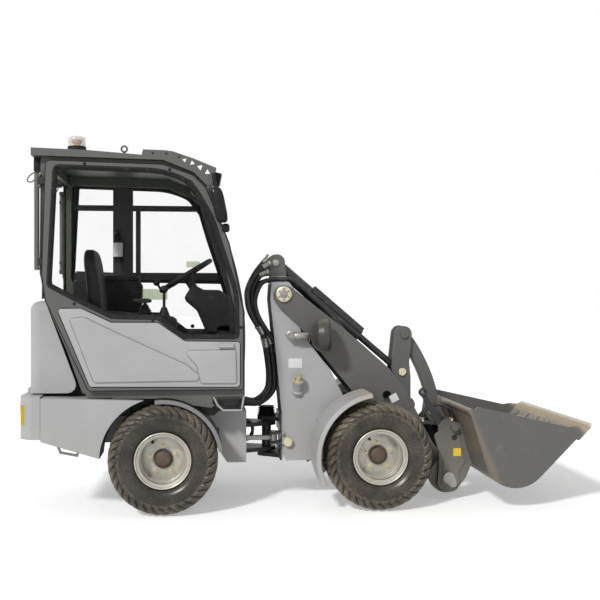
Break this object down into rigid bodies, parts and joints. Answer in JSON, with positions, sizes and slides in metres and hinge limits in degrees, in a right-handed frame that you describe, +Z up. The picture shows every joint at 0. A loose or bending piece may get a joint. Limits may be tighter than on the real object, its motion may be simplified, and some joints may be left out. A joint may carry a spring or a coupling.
{
  "type": "articulated wheel loader",
  "caption": "Compact articulated wheel loader with a glazed cab, a tilting hood, a single lift arm with a tilt lever and link, and a wide bucket on a quick hitch.",
  "frame": {"origin": "middle of the bounding box at ground level, under the tyres", "axes": "+X forward towards the bucket, +Y to the machine's left, +Z up"},
  "size_m": [3.451, 1.28, 2.2839],
  "materials": {
    "light_paint": "satin",
    "dark_paint": "satin",
    "black_metal": "satin",
    "black_plastic": "matte",
    "hose": "matte",
    "vinyl": "matte",
    "clear_glass": "gloss",
    "tyre": "matte",
    "rim_paint": "satin",
    "zinc": "satin",
    "chrome": "gloss",
    "lens_amber": "gloss",
    "lens_red": "gloss"
  },
  "bodies": {
    "chassis": {"rear_frame": "light_paint", "pivot_pin": "zinc", "rear_axle": "black_metal", "engine_block": "black_metal", "counterweight": "light_paint", "rear_boxes": "light_paint", "rear_mudguards": "light_paint", "cab_frame": "dark_paint", "cab_roof": "dark_paint", "windshield": "clear_glass", "rear_window": "clear_glass", "seat": "vinyl", "steering_console": "black_plastic", "steering_wheel": "black_plastic", "side_console": "black_plastic", "beacon": "lens_amber", "work_lamps": "black_plastic", "rear_lamps": "lens_red", "wiper": "black_plastic", "steps": "black_metal", "mirrors": "black_plastic"},
    "hood": {"engine_hood": "light_paint"},
    "right_door": {"door_right": "dark_paint", "door_right_panel": "light_paint", "door_right_glass": "clear_glass"},
    "left_door": {"door_left": "dark_paint", "door_left_panel": "light_paint", "door_left_glass": "clear_glass"},
    "rear_right_wheel": {"tyre_rear_right": "tyre", "rim_rear_right": "rim_paint"},
    "rear_left_wheel": {"tyre_rear_left": "tyre", "rim_rear_left": "rim_paint"},
    "front_right_wheel": {"tyre_front_right": "tyre", "rim_front_right": "rim_paint"},
    "front_left_wheel": {"tyre_front_left": "tyre", "rim_front_left": "rim_paint"},
    "front_unit": {"front_frame": "light_paint", "front_axle": "black_metal", "front_fenders": "light_paint", "headlamps": "black_plastic", "tower_pins": "zinc", "tower_hoses": "hose", "arm_hoses": "hose"},
    "arm": {"boom": "dark_paint"},
    "lever_pin_unit": {"lever_pin": "zinc"},
    "lever_unit": {"lever": "dark_paint"},
    "link_pin_unit": {"link_pin": "zinc"},
    "link_unit": {"link": "dark_paint"},
    "hitch_pin_unit": {"hitch_pin": "zinc", "hitch_spacers": "dark_paint"},
    "hitch_unit": {"quick_hitch": "dark_paint", "hitch_hoses": "hose", "bucket": "dark_paint"},
    "tilt_barrel_unit": {"tilt_barrel": "black_metal"},
    "tilt_rod_unit": {"tilt_rod": "black_metal"},
    "lift_barrel_unit": {"lift_barrel": "black_metal"},
    "lift_rod_unit": {"lift_rod": "chrome"},
    "steer_barrel_unit": {"steer_barrel": "black_metal"},
    "steer_rod_unit": {"steer_rod": "chrome"}
  },
  "joints": [
    {"name": "articulation", "type": "hinge", "parent": "chassis", "child": "front_unit", "pos_m": [-0.23053, 0, 0.4], "axis": [0, 0, 1], "range_deg": [-40, 40]},
    {"name": "rear_right_spin", "type": "hinge", "parent": "chassis", "child": "rear_right_wheel", "pos_m": [-0.88553, -0.448, 0.33], "axis": [0, 1, 0], "continuous": true},
    {"name": "rear_left_spin", "type": "hinge", "parent": "chassis", "child": "rear_left_wheel", "pos_m": [-0.88553, 0.448, 0.33], "axis": [0, 1, 0], "continuous": true},
    {"name": "front_right_spin", "type": "hinge", "parent": "front_unit", "child": "front_right_wheel", "pos_m": [0.42447, -0.448, 0.33], "axis": [0, 1, 0], "continuous": true},
    {"name": "front_left_spin", "type": "hinge", "parent": "front_unit", "child": "front_left_wheel", "pos_m": [0.42447, 0.448, 0.33], "axis": [0, 1, 0], "continuous": true},
    {"name": "boom_lift", "type": "hinge", "parent": "front_unit", "child": "arm", "pos_m": [-0.13253, 0, 1.321], "axis": [0, -1, 0], "range_deg": [0, 80], "deforming": ["arm_hoses"]},
    {"name": "lever_carry", "type": "hinge", "parent": "arm", "child": "lever_pin_unit", "pos_m": [0.67447, 0, 0.602], "axis": [0, -1, 0], "range_deg": [-64.31, 0]},
    {"name": "lever_turn", "type": "hinge", "parent": "lever_pin_unit", "child": "lever_unit", "pos_m": [0.67447, 0, 0.602], "axis": [0, 1, 0], "range_deg": [0, 72.76]},
    {"name": "link_carry", "type": "hinge", "parent": "lever_unit", "child": "link_pin_unit", "pos_m": [0.67847, 0, 1.055], "axis": [0, -1, 0], "range_deg": [0, 64.01]},
    {"name": "link_turn", "type": "hinge", "parent": "link_pin_unit", "child": "link_unit", "pos_m": [0.67847, 0, 1.055], "axis": [0, -1, 0], "range_deg": [0, 71.45]},
    {"name": "hitch_carry", "type": "hinge", "parent": "arm", "child": "hitch_pin_unit", "pos_m": [0.91447, 0, 0.15], "axis": [0, -1, 0], "range_deg": [-73.4, 0]},
    {"name": "bucket_tilt", "type": "hinge", "parent": "hitch_pin_unit", "child": "hitch_unit", "pos_m": [0.91447, 0, 0.15], "axis": [0, 1, 0], "range_deg": [0, 90]},
    {"name": "tilt_cylinder_swing", "type": "hinge", "parent": "front_unit", "child": "tilt_barrel_unit", "pos_m": [-0.17553, 0, 1.525], "axis": [0, -1, 0], "range_deg": [0, 75.48]},
    {"name": "tilt_cylinder_stroke", "type": "slide", "parent": "tilt_barrel_unit", "child": "tilt_rod_unit", "axis": [0.7598, 0, -0.6501], "range_m": [0, 0.20035]},
    {"name": "lift_cylinder_swing", "type": "hinge", "parent": "front_unit", "child": "lift_barrel_unit", "pos_m": [-0.10553, 0, 0.374], "axis": [0, -1, 0], "range_deg": [-2.41, 0]},
    {"name": "lift_cylinder_stroke", "type": "slide", "parent": "lift_barrel_unit", "child": "lift_rod_unit", "axis": [0.2422, 0, 0.9702], "range_m": [0, 0.42608]},
    {"name": "steer_cylinder_swing", "type": "hinge", "parent": "chassis", "child": "steer_barrel_unit", "pos_m": [-0.64553, -0.15, 0.4], "axis": [0, 0, 1], "range_deg": [-1.85, 1.85]},
    {"name": "steer_cylinder_stroke", "type": "slide", "parent": "steer_barrel_unit", "child": "steer_rod_unit", "axis": [1, 0, 0], "range_m": [-0.0978, 0.0978]},
    {"name": "right_door_swing", "type": "hinge", "parent": "chassis", "child": "right_door", "pos_m": [-1.62053, -0.508, 1.5], "axis": [0, 0, -1], "range_deg": [0, 85]},
    {"name": "left_door_swing", "type": "hinge", "parent": "chassis", "child": "left_door", "pos_m": [-1.62053, 0.508, 1.5], "axis": [0, 0, 1], "range_deg": [0, 85]},
    {"name": "hood_tilt", "type": "hinge", "parent": "chassis", "child": "hood", "pos_m": [-1.70153, 0, 0.736], "axis": [0, -1, 0], "range_deg": [0, 60]}
  ],
  "couplings": [
    {"joint": "lever_carry", "follows": "boom_lift", "ratio": -0.8038},
    {"joint": "lever_turn", "follows": "bucket_tilt", "ratio": 0.8083},
    {"joint": "link_carry", "follows": "boom_lift", "ratio": 0.8},
    {"joint": "link_turn", "follows": "bucket_tilt", "ratio": 0.7938},
    {"joint": "hitch_carry", "follows": "boom_lift", "ratio": -0.9174},
    {"joint": "tilt_cylinder_swing", "follows": "boom_lift", "ratio": 0.9434},
    {"joint": "tilt_cylinder_stroke", "follows": "bucket_tilt", "m_per_rad": 0.12723},
    {"joint": "lift_cylinder_swing", "follows": "boom_lift", "ratio": -0.03},
    {"joint": "lift_cylinder_stroke", "follows": "boom_lift", "m_per_rad": 0.3048},
    {"joint": "steer_cylinder_swing", "follows": "articulation", "ratio": 0.046},
    {"joint": "steer_cylinder_stroke", "follows": "articulation", "m_per_rad": 0.13995}
  ]
}
